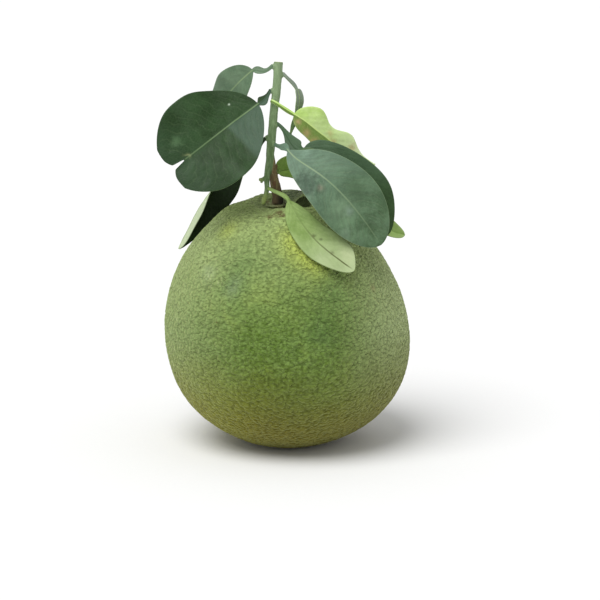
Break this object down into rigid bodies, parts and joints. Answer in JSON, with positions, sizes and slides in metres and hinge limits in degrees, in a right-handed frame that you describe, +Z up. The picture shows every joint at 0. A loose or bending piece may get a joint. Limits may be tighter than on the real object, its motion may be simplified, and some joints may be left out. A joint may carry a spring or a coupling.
{
  "type": "pomelo with twig and leaves",
  "caption": "Whole green pomelo resting on its base, with its stem cavity, a cut leafy twig and broad leaves with winged petioles.",
  "frame": {"origin": "centre of the small flat spot that the fruit rests on", "axes": "+Z up along the height of fruit and twig, +X to the right of the picture, -Y towards its viewer"},
  "size_m": [0.1629, 0.1588, 0.2523],
  "materials": {
    "peel": "dimpled green citrus peel with an oily half-matt sheen, yellower on the shoulders",
    "calyx": "dry olive-brown calyx",
    "bark": "smooth green young bark, brown and rough on the fruit stalk, pale cut end",
    "leaf_grey_green": "leathery leaf with a waxy grey-green sheen",
    "leaf_dark": "leathery dark green leaf, glossy above and paler below",
    "leaf_young": "soft young yellow-green leaf, half matt"
  },
  "bodies": {
    "root": {"fruit": "peel", "calyx": "calyx", "twig": "bark", "leaf_upper_left": "leaf_grey_green", "leaf_large_left": "leaf_dark", "leaf_folded_left": "leaf_dark", "leaf_edge_right": "leaf_grey_green", "leaf_yellow_right": "leaf_young", "leaf_behind_right": "leaf_dark", "leaf_front_right": "leaf_grey_green", "leaf_pale_front": "leaf_young", "leaf_low_right": "leaf_young"}
  },
  "joints": []
}
